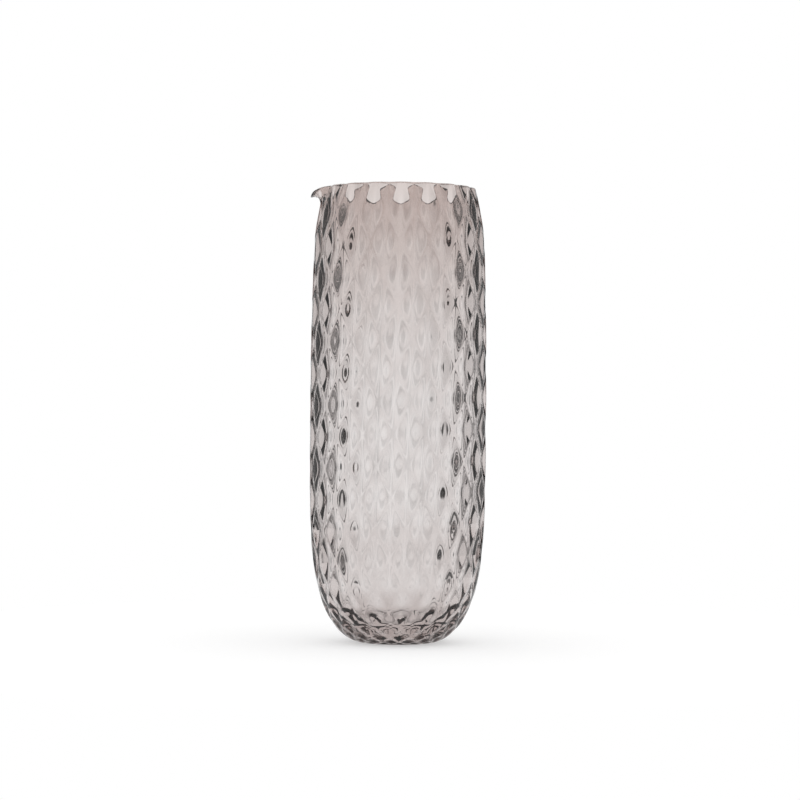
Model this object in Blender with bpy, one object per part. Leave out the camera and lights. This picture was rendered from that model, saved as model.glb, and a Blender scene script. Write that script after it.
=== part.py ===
"""Smoke glass carafe with a diamond relief, modelled as the formed zones of one blown vessel.

Units are metres and +Z is up. The origin is the centre of the base's flat underside, on the vessel's axis.
The pouring lip points to -X. Angles round the axis are measured from -Y towards +X.
"""
import math

import bmesh
import bpy
import numpy as np

# Outline of the outer surface along its ridges, from the underside to the mouth
HEIGHT = 0.240
BASE_RADIUS = 0.0168
BELLY_RADIUS = 0.0466
HEEL_HEIGHT = 0.130
HEEL_FULLNESS = 4.9
SHOULDER_RADIUS = 0.0450
SHOULDER_BELOW_RIM = 0.0285
MOUTH_RADIUS = 0.0400
MOUTH_CURVE = 1.4

# Glass thickness: the wall is measured in the middles of the diamonds, where it is thinnest
WALL = 0.0020
FLOOR_THICKNESS = 0.006
FLOOR_RADIUS = 0.006
BOWL_HEIGHT = 0.046
BOWL_FULLNESS = 2.2
RIM_ROUND = 0.0008

# Diamond relief: each diamond is a hollow in the outer surface, with ridges between the hollows
CELLS_AROUND = 18
HALF_ROW = 0.01645
ROW_SHRINK = 2.2
ROW_SHIFT = -0.9
RELIEF_DEPTH = 0.0017

# Pouring lip, pulled out of the rim
LIP_ANGLE = math.radians(-90.0)
LIP_HALF_ANGLE = math.radians(22.0)
LIP_REACH = 0.0072
LIP_DROP = 0.0035
LIP_LAND = 0.0020
LIP_DEPTH = 0.0075
LIP_CURL = 2.0
LIP_EDGE = 0.0034

# The lip lies half a cell from the lattice's first column
LATTICE_ANGLE = LIP_ANGLE + math.pi / CELLS_AROUND

# Partings between the zones
BASE_TOP = 0.020
RIM_BAND = 0.0165
PART_GAP = 0.0003

# Fineness of the faces
LEAST_STEP = 0.0006
PROFILE_STEPS = 1200
RIM_BAND_STEPS = 8
RIM_ROUND_STEPS = 4
LIP_STEPS = 14
DISH_STEPS = 4
SMOOTH_ANGLE = math.radians(35.0)

# Finish: the tint of the glass deepens where it is thick
GLASS_ROUGHNESS = 0.02
GLASS_INDEX = 1.5
TINTS = {
    "base": (0.66, 0.60, 0.56, 1.0),
    "body_wall": (0.80, 0.76, 0.73, 1.0),
    "mouth_rim": (0.76, 0.70, 0.66, 1.0),
    "pouring_lip": (0.74, 0.67, 0.63, 1.0),
}


def outline_radius(height):
    """Radius of the outer surface along the ridges, at a height above the underside."""
    shoulder_height = HEIGHT - SHOULDER_BELOW_RIM
    if height < HEEL_HEIGHT:
        rest = 1.0 - height / HEEL_HEIGHT
        return BASE_RADIUS + (BELLY_RADIUS - BASE_RADIUS) * math.sqrt(1.0 - rest**HEEL_FULLNESS)
    if height < shoulder_height:
        share = (height - HEEL_HEIGHT) / (shoulder_height - HEEL_HEIGHT)
        return BELLY_RADIUS - (BELLY_RADIUS - SHOULDER_RADIUS) * share**2
    share = min((height - shoulder_height) / SHOULDER_BELOW_RIM, 1.0)
    return SHOULDER_RADIUS - (SHOULDER_RADIUS - MOUTH_RADIUS) * share**MOUTH_CURVE


def lattice_rows():
    """Heights from the rim down and the half rows of diamonds counted down to each of them."""
    heights = np.linspace(HEIGHT, 0.0, PROFILE_STEPS)
    radii = np.array([outline_radius(height) for height in heights])
    lengths = np.hypot(np.diff(heights), np.diff(radii))
    middles = 0.5 * (radii[1:] + radii[:-1])
    in_heel = heights[1:] < HEEL_HEIGHT
    pitches = HALF_ROW * np.where(in_heel, middles / BELLY_RADIUS, 1.0) ** ROW_SHRINK
    rows = np.concatenate([[0.0], np.cumsum(lengths / pitches)])
    return heights, rows


ROW_HEIGHTS, ROW_COUNTS = lattice_rows()


def rows_below_rim(height):
    """Half rows of diamonds between the rim and a height."""
    return float(np.interp(height, ROW_HEIGHTS[::-1], ROW_COUNTS[::-1]))


def relief(angle, height):
    """Share of a hollow's depth: 1 in the middle of a diamond and 0 along the ridges."""
    across = (angle - LATTICE_ANGLE) * CELLS_AROUND / math.tau
    along = (rows_below_rim(height) + ROW_SHIFT) / 2.0
    return abs(math.cos(math.pi * (across + along)) * math.cos(math.pi * (across - along)))


def hollow_depth(height):
    """Depth of the hollows at a height: they get shallower as the vessel narrows."""
    return RELIEF_DEPTH * outline_radius(height) / BELLY_RADIUS


def outer_radius(angle, height):
    """Radius of the outer surface with its hollows."""
    return outline_radius(height) - hollow_depth(height) * relief(angle, height)


def wall_inside(height):
    """Radius of the smooth inner surface, without the bowl."""
    return outline_radius(height) - hollow_depth(height) - WALL


def inner_radius(height):
    """Radius of the inner surface: the smooth wall, closing into a bowl above the floor."""
    if height >= BOWL_HEIGHT:
        return wall_inside(height)
    bowl_edge = wall_inside(BOWL_HEIGHT)
    rest = min((BOWL_HEIGHT - height) / (BOWL_HEIGHT - FLOOR_THICKNESS), 1.0)
    bowl = FLOOR_RADIUS + (bowl_edge - FLOOR_RADIUS) * math.sqrt(1.0 - rest**BOWL_FULLNESS)
    return min(wall_inside(height), bowl)


def lip_pull(angle, height):
    """How far the lip is pulled out at a place on the wall: 0 away from it and 1 at its tip."""
    turn = math.remainder(angle - LIP_ANGLE, math.tau)
    if abs(turn) >= LIP_HALF_ANGLE:
        return 0.0
    rise = 1.0 - (HEIGHT - height - LIP_LAND) / LIP_DEPTH
    across = math.cos(0.5 * math.pi * turn / LIP_HALF_ANGLE) ** 2
    return across * min(max(rise, 0.0), 1.0) ** LIP_CURL


def glass_point(angle, height, depth):
    """A point of the glass: depth 0 is the outer surface and depth 1 the inner surface."""
    pull = lip_pull(angle, height)
    outside = outer_radius(angle, height)
    thickness = outside - inner_radius(height)
    thickness += (LIP_EDGE - thickness) * pull
    radius = outside - depth * thickness + LIP_REACH * pull
    level = height - LIP_DROP * pull**2
    return (radius * math.sin(angle), -radius * math.cos(angle), level)


def wall_levels(low, high):
    """Heights of the lattice rows between two cuts, with the cuts themselves, from low to high."""
    first = math.ceil(rows_below_rim(high) + ROW_SHIFT)
    last = math.floor(rows_below_rim(low) + ROW_SHIFT)
    steps = range(last, first - 1, -1)
    rows = [float(np.interp(row - ROW_SHIFT, ROW_COUNTS, ROW_HEIGHTS)) for row in steps]
    inside = [level for level in rows if low + LEAST_STEP < level < high - LEAST_STEP]
    return [low, *inside, high]


def lattice_angles():
    """Angles of the cell centres and crossings, once round the vessel."""
    return [LATTICE_ANGLE + step * math.pi / CELLS_AROUND for step in range(2 * CELLS_AROUND)]


def add_patch(mesh, corners, depth_of):
    """Fill four corners with two triangles whose shared edge follows the ridge."""
    first, second, third, fourth = corners
    one_way = depth_of[first] + depth_of[third]
    other_way = depth_of[second] + depth_of[fourth]
    if one_way <= other_way:
        mesh.faces.new((first, second, third))
        mesh.faces.new((first, third, fourth))
    else:
        mesh.faces.new((first, second, fourth))
        mesh.faces.new((second, third, fourth))


def add_skin(mesh, angles, places, closed_round, closed_along):
    """Skin a grid of glass points, and return its rows of vertices, one row for each place."""
    depth_of = {}
    rows = []
    for height, depth in places:
        row = []
        for angle in angles:
            vertex = mesh.verts.new(glass_point(angle, height, depth))
            depth_of[vertex] = relief(angle, height)
            row.append(vertex)
        rows.append(row)
    row_pairs = list(zip(rows, rows[1:]))
    if closed_along:
        row_pairs.append((rows[-1], rows[0]))
    columns = len(angles)
    for below, above in row_pairs:
        for left in range(columns if closed_round else columns - 1):
            right = (left + 1) % columns
            corners = (below[left], below[right], above[right], above[left])
            add_patch(mesh, corners, depth_of)
    return rows


def glass_finish(name):
    """Clear tinted glass for one zone."""
    material = bpy.data.materials.new(f"{name}_glass")
    material.use_nodes = True
    shader = material.node_tree.nodes["Principled BSDF"]
    shader.inputs["Base Color"].default_value = TINTS[name]
    shader.inputs["Roughness"].default_value = GLASS_ROUGHNESS
    shader.inputs["Metallic"].default_value = 0.0
    shader.inputs["IOR"].default_value = GLASS_INDEX
    shader.inputs["Transmission Weight"].default_value = 1.0
    material.diffuse_color = TINTS[name]
    return material


def place_zone(name, mesh, vessel):
    """Turn a finished skin into a named object under the vessel's empty."""
    bmesh.ops.recalc_face_normals(mesh, faces=mesh.faces)
    data = bpy.data.meshes.new(name)
    mesh.to_mesh(data)
    mesh.free()
    data.shade_smooth()
    data.set_sharp_from_angle(angle=SMOOTH_ANGLE)
    data.materials.append(glass_finish(name))
    zone = bpy.data.objects.new(name, data)
    zone.parent = vessel
    bpy.context.scene.collection.objects.link(zone)


def make_base(vessel):
    """Thick floor and lower heel, flat underneath and dished inside."""
    top = BASE_TOP - PART_GAP / 2.0
    places = [(level, 0.0) for level in wall_levels(0.0, top)]
    for step in range(DISH_STEPS + 1):
        share = (1.0 - step / DISH_STEPS) ** 2
        places.append((FLOOR_THICKNESS + (top - FLOOR_THICKNESS) * share, 1.0))
    mesh = bmesh.new()
    rows = add_skin(mesh, lattice_angles(), places, closed_round=True, closed_along=False)
    mesh.faces.new(rows[0])
    mesh.faces.new(rows[-1])
    place_zone("base", mesh, vessel)


def make_body_wall(vessel):
    """The patterned barrel between the base and the rim band."""
    levels = wall_levels(BASE_TOP + PART_GAP / 2.0, HEIGHT - RIM_BAND - PART_GAP / 2.0)
    places = [(level, 0.0) for level in levels]
    places += [(level, 1.0) for level in reversed(levels)]
    mesh = bmesh.new()
    add_skin(mesh, lattice_angles(), places, closed_round=True, closed_along=True)
    place_zone("body_wall", mesh, vessel)


def rim_places():
    """Section of the rim band: up the outside, over the rounded edge and down the inside."""
    low = HEIGHT - RIM_BAND + PART_GAP / 2.0
    high = HEIGHT - RIM_ROUND
    levels = [low + (high - low) * step / RIM_BAND_STEPS for step in range(RIM_BAND_STEPS + 1)]
    places = [(level, 0.0) for level in levels]
    for step in range(1, RIM_ROUND_STEPS):
        turn = math.pi * step / RIM_ROUND_STEPS
        places.append((high + RIM_ROUND * math.sin(turn), (1.0 - math.cos(turn)) / 2.0))
    places += [(level, 1.0) for level in reversed(levels)]
    return places


def make_rim_zone(name, angles, vessel):
    """A stretch of the rim band, closed by a flat section at each end."""
    mesh = bmesh.new()
    rows = add_skin(mesh, angles, rim_places(), closed_round=False, closed_along=True)
    mesh.faces.new([row[0] for row in rows])
    mesh.faces.new([row[-1] for row in rows])
    place_zone(name, mesh, vessel)


def make_mouth_rim(vessel):
    """The rim band all round, apart from the lip."""
    clear = LIP_HALF_ANGLE + PART_GAP / 2.0 / MOUTH_RADIUS
    start = LIP_ANGLE + clear
    end = LIP_ANGLE + math.tau - clear
    least_turn = LEAST_STEP / MOUTH_RADIUS
    inside = [angle for angle in lattice_angles() if start + least_turn < angle < end - least_turn]
    make_rim_zone("mouth_rim", [start, *inside, end], vessel)


def make_pouring_lip(vessel):
    """The short beak that is pulled out of the rim band."""
    reach = LIP_HALF_ANGLE - PART_GAP / 2.0 / MOUTH_RADIUS
    angles = [LIP_ANGLE - reach + 2.0 * reach * step / LIP_STEPS for step in range(LIP_STEPS + 1)]
    make_rim_zone("pouring_lip", angles, vessel)


def main():
    """Model the vessel from its underside to its lip."""
    for old in list(bpy.data.objects):
        bpy.data.objects.remove(old)
    vessel = bpy.data.objects.new("carafe", None)
    bpy.context.scene.collection.objects.link(vessel)
    make_base(vessel)
    make_body_wall(vessel)
    make_mouth_rim(vessel)
    make_pouring_lip(vessel)


main()
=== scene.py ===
"""Studio picture of the smoke glass carafe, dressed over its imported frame.

The carafe is one piece of blown glass, so one continuous skin of glass stands for the four zones of
the frame: the thick base, the patterned wall, the rim band and the pouring lip. Lengths are metres, +Z
is up, the lip points to -X, and angles round the axis run from -Y towards +X.
"""

import logging
import math
from dataclasses import dataclass, field
from enum import Enum

import bpy
import numpy as np
from mathutils import Matrix, Vector

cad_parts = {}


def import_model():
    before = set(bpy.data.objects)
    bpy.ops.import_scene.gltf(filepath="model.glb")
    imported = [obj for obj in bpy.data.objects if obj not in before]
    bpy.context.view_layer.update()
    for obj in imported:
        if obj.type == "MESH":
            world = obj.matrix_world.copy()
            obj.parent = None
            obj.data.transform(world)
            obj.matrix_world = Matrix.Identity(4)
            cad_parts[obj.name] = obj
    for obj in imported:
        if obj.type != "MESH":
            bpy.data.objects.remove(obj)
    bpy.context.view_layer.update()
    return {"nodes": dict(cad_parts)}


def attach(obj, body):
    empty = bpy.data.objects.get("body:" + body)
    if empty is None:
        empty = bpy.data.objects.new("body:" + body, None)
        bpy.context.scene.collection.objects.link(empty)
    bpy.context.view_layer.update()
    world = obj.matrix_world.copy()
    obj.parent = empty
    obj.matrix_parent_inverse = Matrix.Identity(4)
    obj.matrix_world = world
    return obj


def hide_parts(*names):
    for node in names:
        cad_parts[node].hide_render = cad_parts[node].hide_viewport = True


LOG = logging.getLogger("carafe")
# Width and height of the picture that the camera is fitted to.
FRAME_PIXELS = 800
# Steps along the outline when its length is added up.
PROFILE_STEPS = 4000
# Half the height over which the slope of the outline is measured.
SLOPE_STEP = 1e-5

Array = np.ndarray
Colour = tuple[float, float, float]
Socket = bpy.types.NodeSocket
Feed = float | Socket


class Skin(Enum):
    """The two faces of the glass wall, as the share of the wall's thickness that lies outside them."""

    OUTER = 0.0
    INNER = 1.0


class Sum(Enum):
    """The sums that the node trees use."""

    ADD = "ADD"
    SUBTRACT = "SUBTRACT"
    MULTIPLY = "MULTIPLY"
    POWER = "POWER"
    ABSOLUTE = "ABSOLUTE"
    ARCTAN2 = "ARCTAN2"
    MAXIMUM = "MAXIMUM"


@dataclass
class NodeSheet:
    """A node tree, with short ways to add nodes and to feed their inputs."""

    tree: bpy.types.NodeTree

    def add(self, kind: str) -> bpy.types.Node:
        """Add a node of the given kind."""
        return self.tree.nodes.new(kind)

    def link(self, source: Socket, target: Socket) -> None:
        """Link an output to an input."""
        self.tree.links.new(source, target)

    def join(self, operation: Sum, first: Feed, second: Feed = 0.0) -> Socket:
        """Add a sum over two values.

        Args:
            operation: the sum.
            first: a number or an output.
            second: another number or output.

        Returns:
            The output that holds the answer.
        """
        node = self.add("ShaderNodeMath")
        node.operation = operation.value
        for target, value in zip(node.inputs, (first, second)):
            if isinstance(value, Socket):
                self.link(value, target)
            else:
                target.default_value = value
        return node.outputs[0]

    def step(self, value: Socket, low: float, high: float) -> Socket:
        """Add a smooth step.

        Args:
            value: the output to measure.
            low: where the step leaves 0.
            high: where the step reaches 1.

        Returns:
            The output that holds the step.
        """
        node = self.add("ShaderNodeMapRange")
        node.interpolation_type = "SMOOTHSTEP"
        node.inputs["From Min"].default_value = low
        node.inputs["From Max"].default_value = high
        self.link(value, node.inputs["Value"])
        return node.outputs["Result"]

    def blend(self, share: Socket, low: Feed, high: Feed) -> Socket:
        """Add a blend of two levels.

        Args:
            share: how far the blend has gone, from 0 to 1.
            low: the level at 0.
            high: the level at 1.

        Returns:
            The output that holds the blended level.
        """
        change = self.join(Sum.MULTIPLY, share, self.join(Sum.SUBTRACT, high, low))
        return self.join(Sum.ADD, change, low)


@dataclass(frozen=True)
class Outline:
    """The turned outline of the outer surface, measured along the ridges of its relief.

    Attributes:
        height: the height of the rim over the underside.
        base_radius: the radius of the flat underside.
        belly_radius: the widest radius.
        heel_height: where the heel has swollen to the widest radius.
        heel_fullness: how square the heel is.
        shoulder_radius: the radius where the mouth starts to draw in.
        shoulder_below_rim: how far that place lies below the rim.
        mouth_radius: the radius at the rim.
        mouth_curve: how late the mouth draws in, where 1 is a straight cone.
    """

    height: float = 0.240
    base_radius: float = 0.0168
    belly_radius: float = 0.0466
    heel_height: float = 0.130
    heel_fullness: float = 4.9
    shoulder_radius: float = 0.0450
    shoulder_below_rim: float = 0.0285
    mouth_radius: float = 0.0400
    mouth_curve: float = 1.4

    def radius(self, heights: Array) -> Array:
        """Give the outer radius at some heights.

        Args:
            heights: heights above the underside.

        Returns:
            The radius at each height.
        """
        shoulder = self.height - self.shoulder_below_rim
        rest = np.clip(1.0 - heights / self.heel_height, 0.0, 1.0)
        swell = (self.belly_radius - self.base_radius) * np.sqrt(1.0 - rest**self.heel_fullness)
        rise = np.clip((heights - self.heel_height) / (shoulder - self.heel_height), 0.0, 1.0)
        taper = (self.belly_radius - self.shoulder_radius) * rise**2
        draw = np.clip((heights - shoulder) / self.shoulder_below_rim, 0.0, 1.0)
        narrowing = (self.shoulder_radius - self.mouth_radius) * draw**self.mouth_curve
        return self.base_radius + swell - taper - narrowing


@dataclass(frozen=True)
class Lattice:
    """The net of tall diamonds that the mould leaves in the glass, a little turned by hand.

    The skin's points follow the net, so that its ridges run along the edges of the mesh.

    Attributes:
        cells_around: the count of diamonds round the axis.
        half_row: the length of half a row of diamonds on the barrel.
        row_shrink: how fast the rows shorten as the heel narrows.
        turn: the angle of the net's first column.
        row_shift: where the rim cuts the net, in half rows.
        twist: how far the net has turned at the underside.
        tilt: how far the rows lean to one side, in half rows.
        tilt_fade: the half rows over which the lean dies out at both ends.
        hollow_round: how round the hollows are, from 0.5 for a cone to 1 for a bowl.
        ridge_round: how round the ridges are, from 0.5 for a crease to 1 for a swell.
        fineness: the steps of the mesh in half a diamond.
    """

    cells_around: int = 18
    half_row: float = 0.01645
    row_shrink: float = 2.2
    turn: float = math.radians(-80.0)
    row_shift: float = -0.9
    twist: float = math.radians(-8.0)
    tilt: float = 0.17
    tilt_fade: float = 2.0
    hollow_round: float = 0.8
    ridge_round: float = 0.7
    fineness: int = 10

    def ladder(self, outline: Outline) -> tuple[Array, Array]:
        """Count half rows of diamonds along the outline, from the rim down.

        Args:
            outline: the outline that the rows follow.

        Returns:
            Falling heights, and the half rows that lie above each of them.
        """
        levels = np.linspace(outline.height, 0.0, PROFILE_STEPS)
        radii = outline.radius(levels)
        lengths = np.hypot(np.diff(levels), np.diff(radii))
        middles = 0.5 * (radii[1:] + radii[:-1])
        narrowing = np.where(levels[1:] < outline.heel_height, middles / outline.belly_radius, 1.0)
        shares = lengths / (self.half_row * narrowing**self.row_shrink)
        return levels, np.concatenate([[0.0], np.cumsum(shares)])

    def rows_at(self, outline: Outline, heights: Array) -> Array:
        """Give the half rows that lie above some heights."""
        levels, counts = self.ladder(outline)
        return np.interp(heights, levels[::-1], counts[::-1])

    def heights_at(self, outline: Outline, rows: Array) -> Array:
        """Give the heights that lie some half rows below the rim."""
        levels, counts = self.ladder(outline)
        return np.interp(rows, counts, levels)

    def steps(self, first: float, last: float) -> Array:
        """List the rows that the mesh follows, whole steps away from the net's crossings.

        Args:
            first: the half rows below the rim where the list may start.
            last: the half rows below the rim where it must end.

        Returns:
            Rising half rows below the rim.
        """
        start = math.ceil((first + self.row_shift) * self.fineness)
        stop = math.floor((last + self.row_shift) * self.fineness) + 1
        return np.arange(start, stop) / self.fineness - self.row_shift

    def sway(self, outline: Outline, rows: Array, angles: Array) -> Array:
        """Say how far the tilt of the net lifts its rows.

        Args:
            outline: the outline that the rows follow.
            rows: half rows below the rim, shaped to spread over the angles.
            angles: angles round the axis.

        Returns:
            The lift at each place, which dies out at the rim and at the underside.
        """
        last = self.rows_at(outline, np.array(0.0))
        fade = np.clip(np.minimum(rows, last - rows) / self.tilt_fade, 0.0, 1.0)
        tilted = self.heights_at(outline, rows - self.tilt * fade * np.sin(angles))
        return tilted - self.heights_at(outline, rows)

    def across(self) -> Array:
        """Give the phase of the net at each column of points."""
        return np.arange(2 * self.cells_around * self.fineness) * math.pi / self.fineness

    def along(self, rows: Array) -> Array:
        """Give the phase of the net at some half rows below the rim."""
        return math.pi * (rows + self.row_shift)

    def ridge_share(self, across: Array, along: Array) -> Array:
        """Say how high the surface stands.

        Args:
            across: phases of the net round the axis.
            along: phases of the net down the outline, shaped to spread over the others.

        Returns:
            0 in the middle of each diamond's hollow and 1 along the ridges between the hollows.
        """
        hollows = (np.cos(0.5 * (across + along)) * np.cos(0.5 * (across - along))) ** 2
        share = (1.0 - hollows) ** self.hollow_round
        return 1.0 - (1.0 - share) ** self.ridge_round


@dataclass(frozen=True)
class PouringLip:
    """The short beak that is pulled out of the rim.

    Attributes:
        angle: the way that the lip points, round the axis.
        half_angle: half the angle that the lip takes up.
        reach: how far its tip stands out of the rim.
        drop: how far its tip dips below the rim.
        land: the depth below the rim that is pulled out in full.
        depth: the further depth over which the pull dies out.
        curl: how fast the pull dies out.
        edge: the thickness of the glass at the tip.
    """

    angle: float = math.radians(-90.0)
    half_angle: float = math.radians(22.0)
    reach: float = 0.0078
    drop: float = 0.0035
    land: float = 0.0020
    depth: float = 0.0075
    curl: float = 2.0
    edge: float = 0.0034

    def pull(self, angles: Array, below_rim: Array) -> Array:
        """Say how far the glass is pulled out at some places.

        Args:
            angles: angles round the axis.
            below_rim: depths below the rim, shaped to spread over the angles.

        Returns:
            0 away from the lip and 1 at its tip.
        """
        turn = np.remainder(angles - self.angle + math.pi, math.tau) - math.pi
        across = np.cos(0.5 * math.pi * np.clip(turn / self.half_angle, -1.0, 1.0)) ** 2
        rise = np.clip(1.0 - (below_rim - self.land) / self.depth, 0.0, 1.0)
        return across * rise**self.curl


@dataclass(frozen=True)
class SmokeGlass:
    """Clear blown glass with a brown smoke tint that is streaked, and painted shade that darkens its
    surface tint towards the rim.

    Attributes:
        name: the name of the material.
        index: the refractive index.
        low_tint: the tint of the surface where it is lightest.
        rim_shade_tint: the tint of the surface at the rim, darkened by painted shade.
        shade_start: the height where the painted shade starts to darken the tint.
        shade_end: the height where the painted shade is deepest.
        shade_curve: how late the painted shade deepens on the way up.
        streak_scale: the grain of the streaks along the three axes.
        streak_depth: how much the streaks add to the tint.
        body_colour: the colour that the mass of the glass lets through.
        body_density: how strongly the mass absorbs, per metre.
    """

    name: str = "smoke_glass"
    index: float = 1.5
    low_tint: Colour = (1.0, 1.0, 1.0)
    # The rim tint is painted shade: it darkens the glass towards the top.
    rim_shade_tint: Colour = (0.80, 0.735, 0.71)
    shade_start: float = 0.10
    shade_end: float = 0.240
    shade_curve: float = 2.3
    streak_scale: Colour = (45.0, 45.0, 9.0)
    streak_depth: float = 0.05
    body_colour: Colour = (0.25, 0.10, 0.06)
    body_density: float = 56.0

    def shade_and_streak_share(self, sheet: NodeSheet) -> Socket:
        """Work out how deep the painted shade and the streaks of the tint are at a place on the glass.

        Args:
            sheet: the node tree of the glass.

        Returns:
            The output that holds 0 for the low tint up to 1 for the shaded rim tint, plus the streaks.
        """
        place = sheet.add("ShaderNodeTexCoord").outputs["Object"]
        axes = sheet.add("ShaderNodeSeparateXYZ")
        sheet.link(place, axes.inputs[0])
        # Painted shade that deepens with height towards the rim.
        rise = sheet.add("ShaderNodeMapRange")
        rise.inputs["From Min"].default_value = self.shade_start
        rise.inputs["From Max"].default_value = self.shade_end
        sheet.link(axes.outputs["Z"], rise.inputs["Value"])
        painted_shade = sheet.join(Sum.POWER, rise.outputs["Result"], self.shade_curve)
        stretch = sheet.add("ShaderNodeMapping")
        stretch.inputs["Scale"].default_value = self.streak_scale
        sheet.link(place, stretch.inputs["Vector"])
        noise = sheet.add("ShaderNodeTexNoise")
        sheet.link(stretch.outputs["Vector"], noise.inputs["Vector"])
        streaks = sheet.join(Sum.MULTIPLY, noise.outputs[0], self.streak_depth)
        return sheet.join(Sum.ADD, painted_shade, streaks)

    def material(self) -> bpy.types.Material:
        """Make the glass with the tint of its surface, darkened by painted shade towards the rim, and the
        colour of its mass.

        Returns:
            The new material.
        """
        glass = bpy.data.materials.new(self.name)
        glass.use_nodes = True
        sheet = NodeSheet(glass.node_tree)
        shader = glass.node_tree.nodes["Principled BSDF"]
        shader.inputs["Roughness"].default_value = 0.0
        shader.inputs["IOR"].default_value = self.index
        shader.inputs["Transmission Weight"].default_value = 1.0
        # The surface tint blends from the clear low tint into the painted shade of the rim tint.
        tint = sheet.add("ShaderNodeMix")
        tint.data_type = "RGBA"
        tint.inputs["A"].default_value = (*self.low_tint, 1.0)
        tint.inputs["B"].default_value = (*self.rim_shade_tint, 1.0)
        sheet.link(self.shade_and_streak_share(sheet), tint.inputs["Factor"])
        sheet.link(tint.outputs["Result"], shader.inputs["Base Color"])
        mass = sheet.add("ShaderNodeVolumeAbsorption")
        mass.inputs["Color"].default_value = (*self.body_colour, 1.0)
        mass.inputs["Density"].default_value = self.body_density
        sheet.link(mass.outputs["Volume"], glass.node_tree.nodes["Material Output"].inputs["Volume"])
        return glass


@dataclass(frozen=True)
class PaleFinish:
    """The matt pale finish of the table, which the camera sees as white away from the shadow.

    Attributes:
        name: the name of the material.
        albedo: the grey level of the paint.
        camera_glow: the light that the paint gives off.
        glass_glow: the plain white that is seen through the glass instead.
    """

    name: str = "pale_floor"
    albedo: float = 0.6
    camera_glow: float = 0.45
    glass_glow: float = 0.95

    def material(self) -> bpy.types.Material:
        """Make the finish, with a plain white for what the glass shows of the table.

        Returns:
            The new material.
        """
        paint = bpy.data.materials.new(self.name)
        paint.use_nodes = True
        sheet = NodeSheet(paint.node_tree)
        shader = paint.node_tree.nodes["Principled BSDF"]
        shader.inputs["Base Color"].default_value = (self.albedo, self.albedo, self.albedo, 1.0)
        shader.inputs["Roughness"].default_value = 1.0
        shader.inputs["Specular IOR Level"].default_value = 0.0
        shader.inputs["Emission Color"].default_value = (1.0, 1.0, 1.0, 1.0)
        shader.inputs["Emission Strength"].default_value = self.camera_glow
        shown = sheet.add("ShaderNodeEmission")
        shown.inputs["Strength"].default_value = self.glass_glow
        either = sheet.add("ShaderNodeMixShader")
        sheet.link(sheet.add("ShaderNodeLightPath").outputs["Is Transmission Ray"], either.inputs[0])
        sheet.link(shader.outputs[0], either.inputs[1])
        sheet.link(shown.outputs[0], either.inputs[2])
        sheet.link(either.outputs[0], paint.node_tree.nodes["Material Output"].inputs["Surface"])
        return paint


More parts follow.
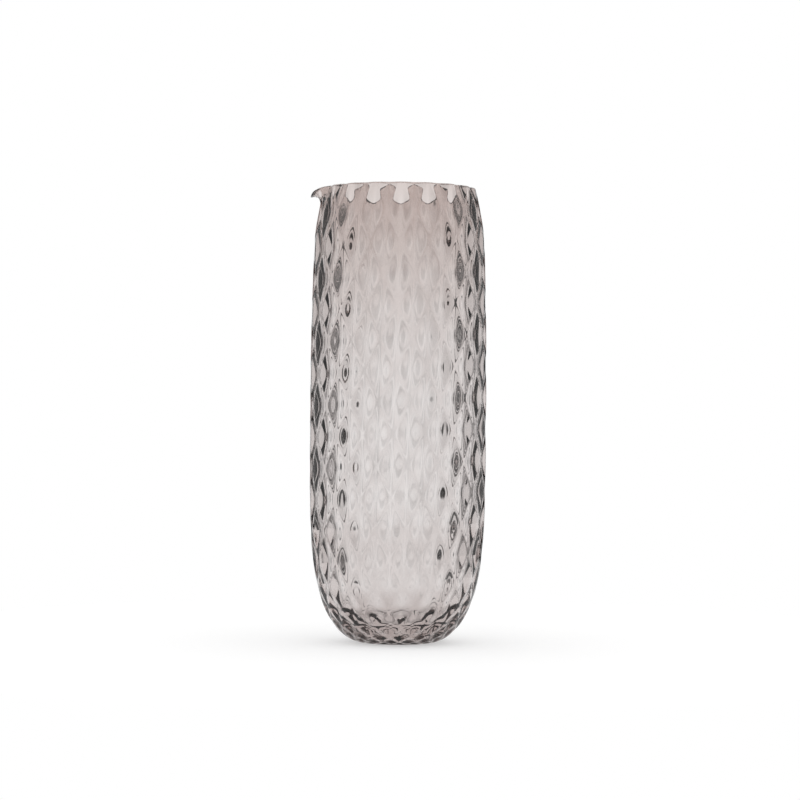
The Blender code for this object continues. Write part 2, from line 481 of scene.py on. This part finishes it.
@dataclass
class GlassVessel:
    """The carafe: one skin of glass, up the outside, over the rim and down the inside to the floor.

    Attributes:
        outline: the outline of the outer surface.
        lattice: the net of its relief.
        lip: the lip at the rim.
        finish: the glass itself.
        wall: the thickness of the glass in the middle of a hollow.
        relief_depth: the depth of the hollows on the barrel.
        relief_fade: how fast the hollows get shallower as the vessel narrows.
        floor_thickness: the thickness of the glass under the inside floor.
        floor_radius: the radius of the inside floor's flat part.
        bowl_height: where the bowl over the floor meets the wall.
        bowl_fullness: how square the bowl is.
        bowl_blend: how tightly the bowl turns into the wall.
        bowl_ease: the height over which that turn dies out.
        rim_round: the height of the rounding on the rim.
        rim_crisp: how close the next ring lies to the rounding, which keeps its edge crisp.
        cap_crowding: how close the rings of a disc crowd to its edge.
        inner_rows: the count of rings on the inside of the wall.
        bowl_rows: the count of rings in the bowl.
        rim_rows: the count of rings over the rim.
        cap_rings: the count of rings in each disc.
    """

    outline: Outline = field(default_factory=Outline)
    lattice: Lattice = field(default_factory=Lattice)
    lip: PouringLip = field(default_factory=PouringLip)
    finish: SmokeGlass = field(default_factory=SmokeGlass)
    wall: float = 0.0020
    relief_depth: float = 0.0017
    relief_fade: float = 1.0
    floor_thickness: float = 0.006
    floor_radius: float = 0.006
    bowl_height: float = 0.046
    bowl_fullness: float = 2.2
    bowl_blend: float = 24.0
    bowl_ease: float = 0.023
    rim_round: float = 0.0008
    rim_crisp: float = 0.00015
    cap_crowding: float = 0.6
    inner_rows: int = 30
    bowl_rows: int = 22
    rim_rows: int = 7
    cap_rings: int = 5

    def hollow_depth(self, heights: Array) -> Array:
        """Give the depth of the hollows, which get shallower as the vessel narrows."""
        width = self.outline.radius(heights) / self.outline.belly_radius
        return self.relief_depth * width**self.relief_fade

    def wall_inside(self, heights: Array) -> Array:
        """Give the radius of the smooth inner surface, before the bowl closes in."""
        return self.outline.radius(heights) - self.hollow_depth(heights) - self.wall

    def inner_radius(self, heights: Array) -> Array:
        """Give the radius of the inner surface, with the bowl above the floor.

        Args:
            heights: heights above the underside.

        Returns:
            The radius at each height.
        """
        straight = self.wall_inside(heights)
        rest = np.clip((self.bowl_height - heights) / (self.bowl_height - self.floor_thickness), 0.0, 1.0)
        span = self.wall_inside(np.array(self.bowl_height)) - self.floor_radius
        bowl = self.floor_radius + span * np.sqrt(1.0 - rest**self.bowl_fullness)
        closed = (straight**-self.bowl_blend + bowl**-self.bowl_blend) ** (-1.0 / self.bowl_blend)
        ease = np.clip((heights - self.bowl_height) / self.bowl_ease, 0.0, 1.0)
        return closed + (straight - closed) * ease**2 * (3.0 - 2.0 * ease)

    def rim_foot(self) -> float:
        """Give the height where the rounding of the rim starts."""
        return self.outline.height - self.rim_round

    def outer_heights(self) -> Array:
        """List the rings of the outside, which follow the rows of the net.

        Returns:
            Rising heights, from the edge of the underside to the rounding of the rim.
        """
        top = self.rim_foot()
        first, last = self.lattice.rows_at(self.outline, np.array([top, 0.0]))
        net = self.lattice.heights_at(self.outline, self.lattice.steps(first, last))
        return np.concatenate([[0.0], net[::-1], [top - self.rim_crisp, top]])

    def inner_heights(self) -> Array:
        """List the rings of the inside.

        Returns:
            Falling heights, from the rounding of the rim to the edge of the inside floor.
        """
        top = self.rim_foot()
        wall = np.linspace(top, self.bowl_height, self.inner_rows, endpoint=False)
        wall = np.insert(wall, 1, top - self.rim_crisp)
        swing = np.linspace(0.5 * math.pi, 0.0, self.bowl_rows)
        drop = (self.bowl_height - self.floor_thickness) * np.cos(swing) ** (2.0 / self.bowl_fullness)
        return np.concatenate([wall, self.bowl_height - drop])

    def places(self) -> tuple[Array, Array]:
        """List the rings of the skin, from the edge of the underside to the edge of the inside floor.

        Returns:
            The rings' heights and their depths in the wall.
        """
        outer, inner = self.outer_heights(), self.inner_heights()
        turns = np.linspace(0.0, math.pi, self.rim_rows + 2)[1:-1]
        heights = np.concatenate([outer, self.rim_foot() + self.rim_round * np.sin(turns), inner])
        outer_depths = np.full(len(outer), Skin.OUTER.value)
        inner_depths = np.full(len(inner), Skin.INNER.value)
        return heights, np.concatenate([outer_depths, 0.5 - 0.5 * np.cos(turns), inner_depths])

    def lean(self, heights: Array) -> tuple[Array, Array]:
        """Give the outward normal of the turned outline.

        Args:
            heights: heights above the underside.

        Returns:
            The normal's parts away from the axis and upwards.
        """
        heights = np.maximum(heights, 2.0 * SLOPE_STEP)
        rise = self.outline.radius(heights + SLOPE_STEP) - self.outline.radius(heights - SLOPE_STEP)
        slope = rise / (2.0 * SLOPE_STEP)
        length = np.sqrt(1.0 + slope**2)
        return 1.0 / length, -slope / length

    def points(self) -> Array:
        """Work out the grid of glass points, one row of points for each ring.

        Returns:
            An array of rings by columns by three coordinates.
        """
        heights, depths = (values[:, None] for values in self.places())
        across = self.lattice.across()[None, :]
        rows = self.lattice.rows_at(self.outline, heights)
        angles = self.lattice.turn + across / self.lattice.cells_around
        heights = heights + (1.0 - depths) * self.lattice.sway(self.outline, rows, angles)
        angles = angles + self.lattice.twist * (1.0 - heights / self.outline.height)
        share = self.lattice.ridge_share(across, self.lattice.along(rows))
        hollow = self.hollow_depth(heights) * (1.0 - share)
        pull = self.lip.pull(angles, self.outline.height - heights)
        out, up = self.lean(heights)
        outside = self.outline.radius(heights) - hollow * out
        thickness = outside - self.inner_radius(heights)
        thickness = thickness + (self.lip.edge - thickness) * pull
        radius = outside - depths * thickness + self.lip.reach * pull
        level = heights - self.lip.drop * pull**2 - (1.0 - depths) * hollow * up
        return np.stack([radius * np.sin(angles), -radius * np.cos(angles), level], axis=-1)

    def cap(self, edge: Array) -> Array:
        """Close a disc with rings that shrink from its edge.

        Args:
            edge: the points of the edge, columns by three.

        Returns:
            The inner rings, from the edge inwards, without the edge itself and the middle.
        """
        shares = np.linspace(1.0, 0.0, self.cap_rings + 2)[1:-1] ** self.cap_crowding
        middle = np.array([0.0, 0.0, edge[:, 2].mean()])
        return middle + (edge - middle)[None] * shares[:, None, None]

    def faces(self) -> list[list[int]]:
        """Join the rings of the skin and of both discs with triangles that share edges along the ridges.

        Returns:
            The corners of each triangle, where the last two points are the middles of the discs.
        """
        heights, _ = self.places()
        rows = np.pad(self.lattice.rows_at(self.outline, heights), self.cap_rings, mode="edge")
        across = self.lattice.across() + 0.5 * math.pi / self.lattice.fineness
        along = self.lattice.along(0.5 * (rows[1:] + rows[:-1]))
        rising = np.sin(along)[:, None] * np.sin(across)[None, :] > 0.0
        spots = np.arange(len(rows) * len(across)).reshape(len(rows), -1)
        low, high = spots[:-1], spots[1:]
        low_next, high_next = np.roll(low, -1, axis=1), np.roll(high, -1, axis=1)
        lower = np.stack([low, low_next, np.where(rising, high_next, high)], axis=-1)
        upper = np.stack([np.where(rising, low, low_next), high_next, high], axis=-1)
        first, last = spots[0], spots[-1]
        underside = np.stack([np.full_like(first, spots.size), np.roll(first, -1), first], axis=-1)
        floor = np.stack([np.full_like(last, spots.size + 1), last, np.roll(last, -1)], axis=-1)
        sides = [lower.reshape(-1, 3), upper.reshape(-1, 3)]
        return np.concatenate([*sides, underside, floor]).tolist()

    def build(self) -> bpy.types.Object:
        """Make the glass as one closed mesh.

        Returns:
            The new object, linked to the scene.
        """
        grid = self.points()
        rings = np.concatenate([self.cap(grid[0])[::-1], grid, self.cap(grid[-1])])
        verts = rings.reshape(-1, 3).tolist()
        verts += [[0.0, 0.0, float(edge[:, 2].mean())] for edge in (grid[0], grid[-1])]
        mesh = bpy.data.meshes.new("carafe_glass")
        mesh.from_pydata(verts, [], self.faces())
        mesh.shade_smooth()
        glass = bpy.data.objects.new("carafe_glass", mesh)
        bpy.context.scene.collection.objects.link(glass)
        return glass

    def dress(self, glass: bpy.types.Object) -> None:
        """Give the glass its finish."""
        glass.data.materials.append(self.finish.material())


@dataclass
class StudioFloor:
    """The plain pale table that the carafe stands on.

    Attributes:
        radius: the radius of the table top.
        drop: how far the table top lies under the glass.
        corners: the count of corners round its edge.
        finish: the paint on it.
    """

    radius: float = 0.30
    drop: float = 0.0002
    corners: int = 96
    finish: PaleFinish = field(default_factory=PaleFinish)

    def build(self) -> bpy.types.Object:
        """Make the table top as a disc just under the carafe.

        Returns:
            The new object, linked to the scene.
        """
        turns = np.linspace(0.0, math.tau, self.corners, endpoint=False)
        circle = np.column_stack([np.sin(turns), -np.cos(turns)]) * self.radius
        verts = [(float(x), float(y), -self.drop) for x, y in circle]
        mesh = bpy.data.meshes.new("floor")
        mesh.from_pydata(verts, [], [tuple(range(self.corners))])
        floor = bpy.data.objects.new("floor", mesh)
        bpy.context.scene.collection.objects.link(floor)
        return floor

    def dress(self, floor: bpy.types.Object) -> None:
        """Give the table top its finish."""
        floor.data.materials.append(self.finish.material())


@dataclass
class StudioLight:
    """White panels round the table with dark gaps between them, and a dimmer room behind the camera.

    Angles are degrees. Those of the gaps and of the fall are counted from the Y axis to both sides, in
    front of the carafe and behind it.

    Attributes:
        gap_start: where each gap starts.
        gap_end: where each gap ends.
        gap_soft: half the width of a gap's soft edge.
        gap_level: the light in the gaps.
        fall_start: where the panels start to get dimmer.
        fall_end: where they stop getting dimmer.
        fall_level: the light of the panels from there on.
        front_low: how far a direction points to -Y, from -1 to 1, where the light starts to dim.
        front_high: how far it points to -Y where the light stops dimming.
        front_level: the share of the light that is left there.
        foot_low: the elevation where the ground gives way to the panels.
        foot_high: the elevation where the panels are in full.
        ground_level: the light of the ground.
        room_level: the light on everything but the glass.
    """

    gap_start: float = 25.0
    gap_end: float = 43.0
    gap_soft: float = 2.0
    gap_level: float = 0.0
    fall_start: float = 2.0
    fall_end: float = 16.0
    fall_level: float = 0.82
    front_low: float = -0.3
    front_high: float = 0.3
    front_level: float = 0.9
    foot_low: float = -18.0
    foot_high: float = -12.0
    ground_level: float = 0.93
    room_level: float = 1.0

    def panels(self, sheet: NodeSheet) -> Socket:
        """Lay out the light that the glass shows.

        Args:
            sheet: the node tree of the world.

        Returns:
            The output that holds the level in each direction.
        """
        axes = sheet.add("ShaderNodeSeparateXYZ")
        sheet.link(sheet.add("ShaderNodeTexCoord").outputs["Generated"], axes.inputs[0])
        side = sheet.join(Sum.ABSOLUTE, axes.outputs["X"])
        ahead = sheet.join(Sum.ABSOLUTE, axes.outputs["Y"])
        turn = sheet.join(Sum.MULTIPLY, sheet.join(Sum.ARCTAN2, side, ahead), math.degrees(1.0))
        opens = sheet.step(turn, self.gap_start - self.gap_soft, self.gap_start + self.gap_soft)
        closes = sheet.step(turn, self.gap_end - self.gap_soft, self.gap_end + self.gap_soft)
        gap = sheet.join(Sum.SUBTRACT, opens, closes)
        panel = sheet.blend(sheet.step(turn, self.fall_start, self.fall_end), 1.0, self.fall_level)
        ring = sheet.blend(gap, panel, self.gap_level)
        nearer = sheet.join(Sum.MULTIPLY, axes.outputs["Y"], -1.0)
        dimming = sheet.blend(sheet.step(nearer, self.front_low, self.front_high), 1.0, self.front_level)
        low, high = (math.sin(math.radians(angle)) for angle in (self.foot_low, self.foot_high))
        stands = sheet.step(axes.outputs["Z"], low, high)
        return sheet.blend(stands, self.ground_level, sheet.join(Sum.MULTIPLY, ring, dimming))

    def build(self) -> bpy.types.World:
        """Make the world that lights the carafe and that its glass shows.

        Returns:
            The new world, set on the scene.
        """
        world = bpy.data.worlds.new("studio")
        bpy.context.scene.world = world
        world.use_nodes = True
        sheet = NodeSheet(world.node_tree)
        rays = sheet.add("ShaderNodeLightPath").outputs
        shown = sheet.join(Sum.MAXIMUM, rays["Is Glossy Ray"], rays["Is Transmission Ray"])
        seen = sheet.blend(shown, self.room_level, self.panels(sheet))
        level = sheet.join(Sum.MAXIMUM, seen, rays["Is Camera Ray"])
        sheet.link(level, world.node_tree.nodes["Background"].inputs["Color"])
        return world


@dataclass
class PhotoCamera:
    """The long lens that looks level at the carafe.

    Attributes:
        azimuth: the angle of the camera round the axis.
        elevation: the angle of the camera above the level of its aim.
        distance: how far the camera stands from its aim.
        aim_height: the height of the aim on the axis.
        metres_per_pixel: the size of a pixel at the aim.
        aim_pixel: the pixel that shows the aim, counted from the top left.
        roll: the turn of the camera about its line of sight.
        sensor: the width of the sensor in millimetres.
    """

    azimuth: float = math.radians(-1.35)
    elevation: float = 0.0
    distance: float = 1.3
    aim_height: float = 0.122
    metres_per_pixel: float = 0.000529
    aim_pixel: tuple[float, float] = (398.2, 411.2)
    roll: float = math.radians(0.45)
    sensor: float = 36.0

    def build(self) -> bpy.types.Object:
        """Place the camera and make it the scene's own.

        Returns:
            The new camera object.
        """
        data = bpy.data.cameras.new("photo_camera")
        camera = bpy.data.objects.new("photo_camera", data)
        scene = bpy.context.scene
        scene.collection.objects.link(camera)
        scene.camera = camera
        aim = Vector((0.0, 0.0, self.aim_height))
        level = math.cos(self.elevation) * self.distance
        rise = math.sin(self.elevation) * self.distance
        back = Vector((math.sin(self.azimuth) * level, -math.cos(self.azimuth) * level, rise))
        camera.location = aim + back
        look = (aim - camera.location).to_track_quat("-Z", "Y").to_matrix()
        camera.rotation_euler = (look @ Matrix.Rotation(self.roll, 3, "Z")).to_euler()
        data.sensor_width = self.sensor
        data.lens = self.sensor * self.distance / (FRAME_PIXELS * self.metres_per_pixel)
        data.shift_x = 0.5 - self.aim_pixel[0] / FRAME_PIXELS
        data.shift_y = self.aim_pixel[1] / FRAME_PIXELS - 0.5
        return camera


def main() -> None:
    """Build the carafe and its studio, and log the glass's faces, the floor's width and the lens."""
    logging.basicConfig(level=logging.INFO, format="%(name)s: %(message)s")
    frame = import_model()
    bpy.context.scene.view_settings.view_transform = "Standard"
    vessel = GlassVessel()
    glass = vessel.build()
    vessel.dress(glass)
    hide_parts(*frame["nodes"])
    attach(glass, "root")
    LOG.info("%s: %d faces", glass.name, len(glass.data.polygons))
    table = StudioFloor()
    floor = table.build()
    table.dress(floor)
    LOG.info("%s: %.2f m across", floor.name, 2.0 * table.radius)
    world = StudioLight().build()
    LOG.info("%s: lit all round", world.name)
    camera = PhotoCamera().build()
    LOG.info("%s: %.0f mm lens", camera.name, camera.data.lens)


if __name__ == "__main__":
    main()
